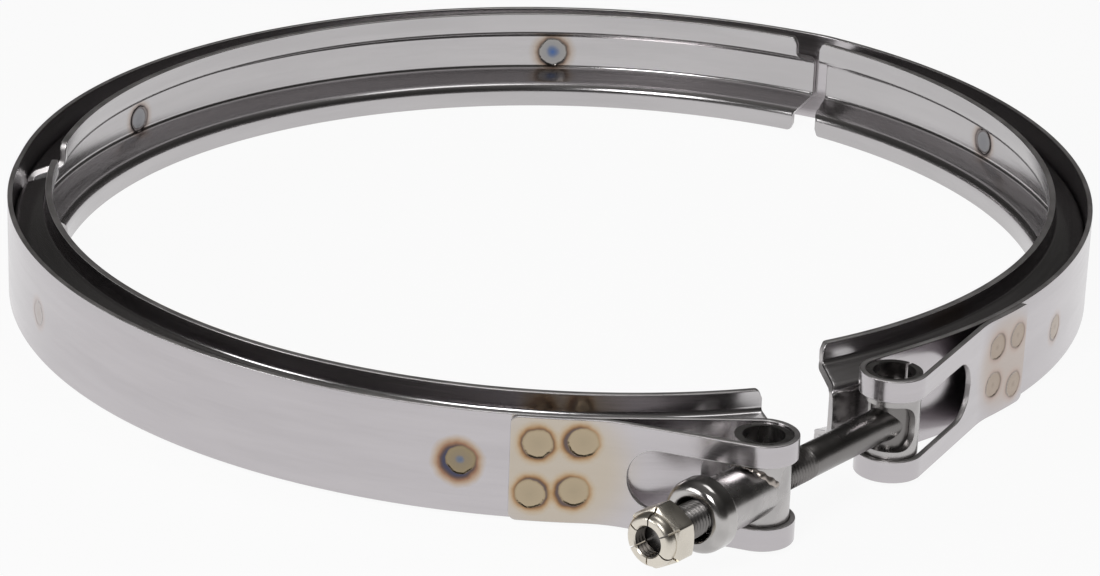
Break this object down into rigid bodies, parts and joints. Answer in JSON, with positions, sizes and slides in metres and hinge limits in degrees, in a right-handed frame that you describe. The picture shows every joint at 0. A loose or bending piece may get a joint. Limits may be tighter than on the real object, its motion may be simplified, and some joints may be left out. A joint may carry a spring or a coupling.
{
  "type": "exhaust clamp",
  "caption": "Stainless V-band clamp: a thin outer band carries hat-section retainers and closes with a T-bolt latch whose cross head and trunnion sit in folded loops of the band.",
  "frame": {"origin": "centre of the back third of the ring, at half the height of the band", "axes": "+Z along the ring's axis, +X to the right and -Y towards the latch as in the picture"},
  "size_m": [0.2754, 0.3348, 0.028],
  "materials": {
    "band_steel": "bright rolled",
    "retainer_steel": "bright rolled",
    "latch_steel": "turned",
    "bolt_steel": "dark drawn",
    "nut_steel": "warm plated"
  },
  "bodies": {
    "ring": {"outer_band": "band_steel", "retainer_back": "retainer_steel", "retainer_front": "retainer_steel", "retainer_right": "retainer_steel"},
    "bolt": {"t_bolt": "bolt_steel", "bolt_sleeve": "latch_steel"},
    "trunnion": {"trunnion": "latch_steel", "barrel_cap": "latch_steel"},
    "nut": {"lock_nut": "nut_steel"}
  },
  "joints": [
    {"name": "bolt_swing", "type": "hinge", "parent": "ring", "child": "bolt", "pos_m": [0.0724, -0.11612, 0], "axis": [0, 0, 1], "range_deg": [-0.3, 0.8]},
    {"name": "trunnion_swivel", "type": "hinge", "parent": "ring", "child": "trunnion", "pos_m": [0.04152, -0.15501, 0], "axis": [0, 0, 1], "range_deg": [-0.3, 0.8]},
    {"name": "nut_travel", "type": "slide", "parent": "bolt", "child": "nut", "axis": [-0.6218, -0.7832, 0], "range_m": [-0.0067, 0.0046]}
  ],
  "couplings": [
    {"joint": "trunnion_swivel", "follows": "bolt_swing", "ratio": 1}
  ]
}
